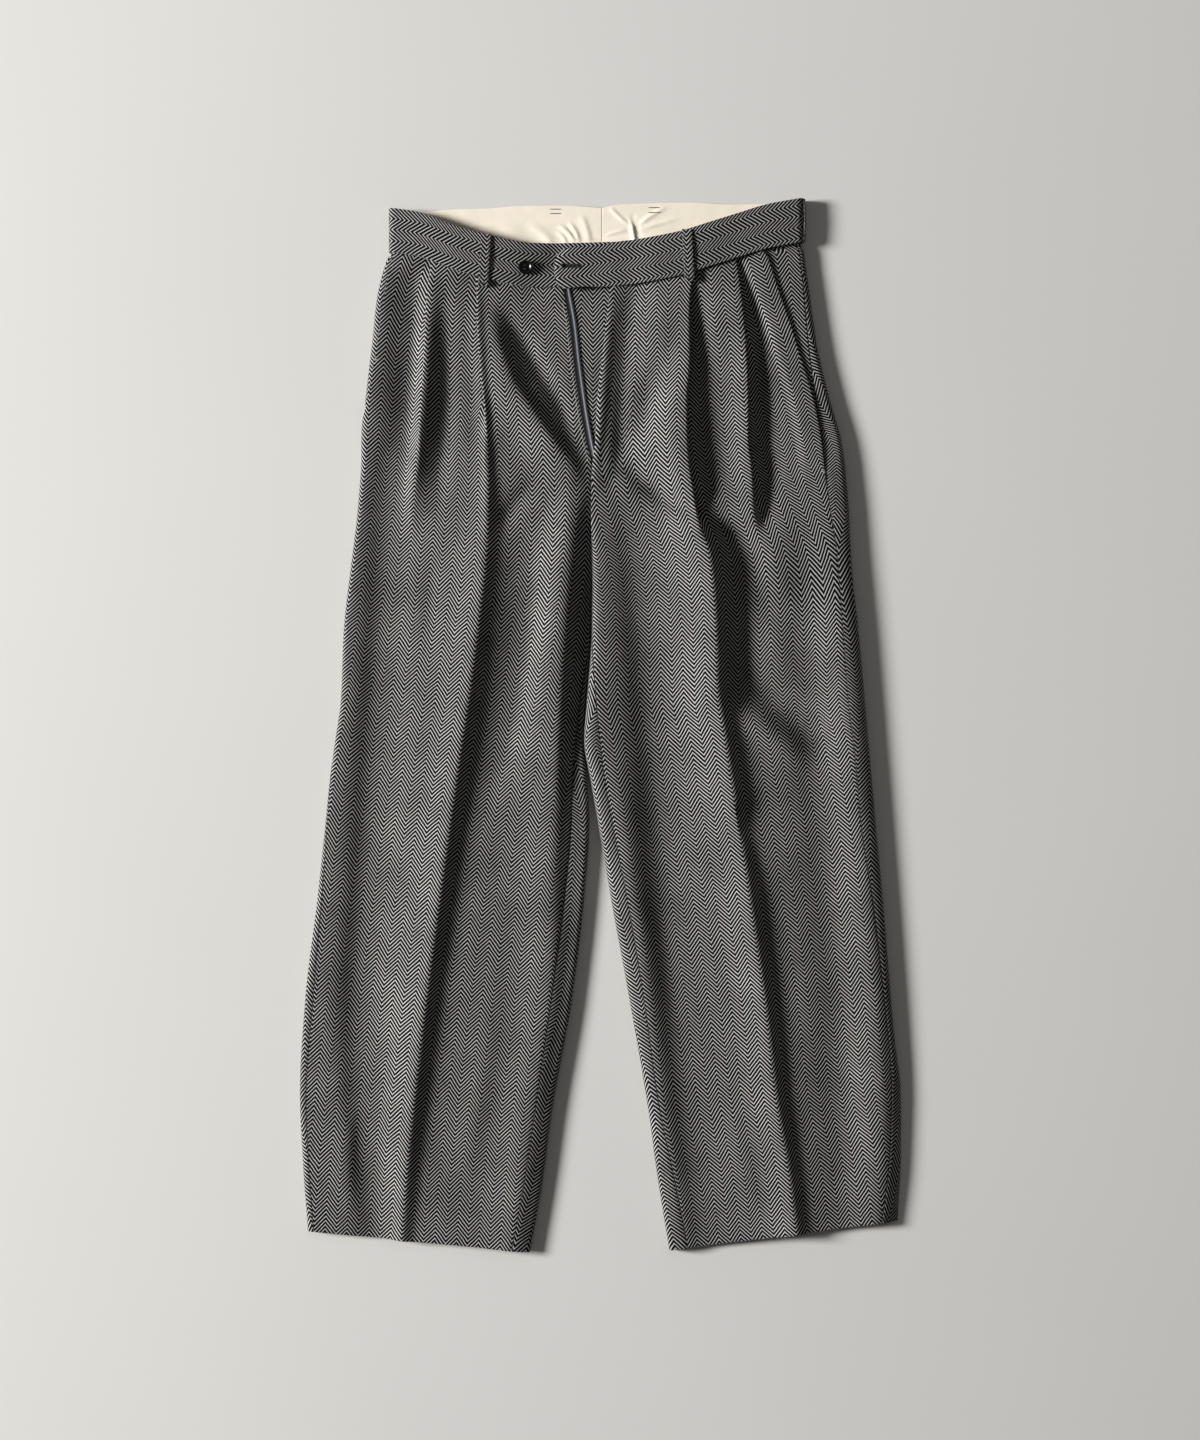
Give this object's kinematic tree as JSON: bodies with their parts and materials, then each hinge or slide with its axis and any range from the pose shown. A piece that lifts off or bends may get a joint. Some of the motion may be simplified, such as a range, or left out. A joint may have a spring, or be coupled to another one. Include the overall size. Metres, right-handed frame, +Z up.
{
  "type": "pleated dress trousers",
  "caption": "Pleated wool dress trousers laid flat with the front up: creased straight legs, belt loops, slant pockets, the waistband unbuttoned and the fly open at the top.",
  "frame": {"origin": "middle of the laid trousers, on the surface they lie on", "axes": "+X to the wearer's left, +Y from the hems to the waist, +Z up from the surface"},
  "size_m": [0.6027, 1.0548, 0.0226],
  "materials": {
    "wool_cloth": "charcoal and off-white wool herringbone, soft nap",
    "cotton_lining": "cream plain-weave cotton",
    "zip_tape": "grey woven tape",
    "zip_metal": "nickel plated",
    "button_plastic": "polished black"
  },
  "bodies": {
    "root": {"front_panel_right": "wool_cloth", "front_panel_left": "wool_cloth", "back_panel_right": "wool_cloth", "back_panel_left": "wool_cloth", "waistband_right": "wool_cloth", "waistband_left": "wool_cloth", "waistband_lining_right": "cotton_lining", "waistband_lining_left": "cotton_lining", "belt_loop_front_right": "wool_cloth", "belt_loop_front_left": "wool_cloth", "belt_loop_side_right": "wool_cloth", "belt_loop_side_left": "wool_cloth", "belt_loop_back_right": "wool_cloth", "belt_loop_back_left": "wool_cloth", "fly_shield": "wool_cloth", "pocket_facing_right": "wool_cloth", "pocket_facing_left": "wool_cloth", "zip_tape_right": "zip_tape", "zip_tape_left": "zip_tape", "zip_slider": "zip_metal", "waist_button": "button_plastic"}
  },
  "joints": []
}
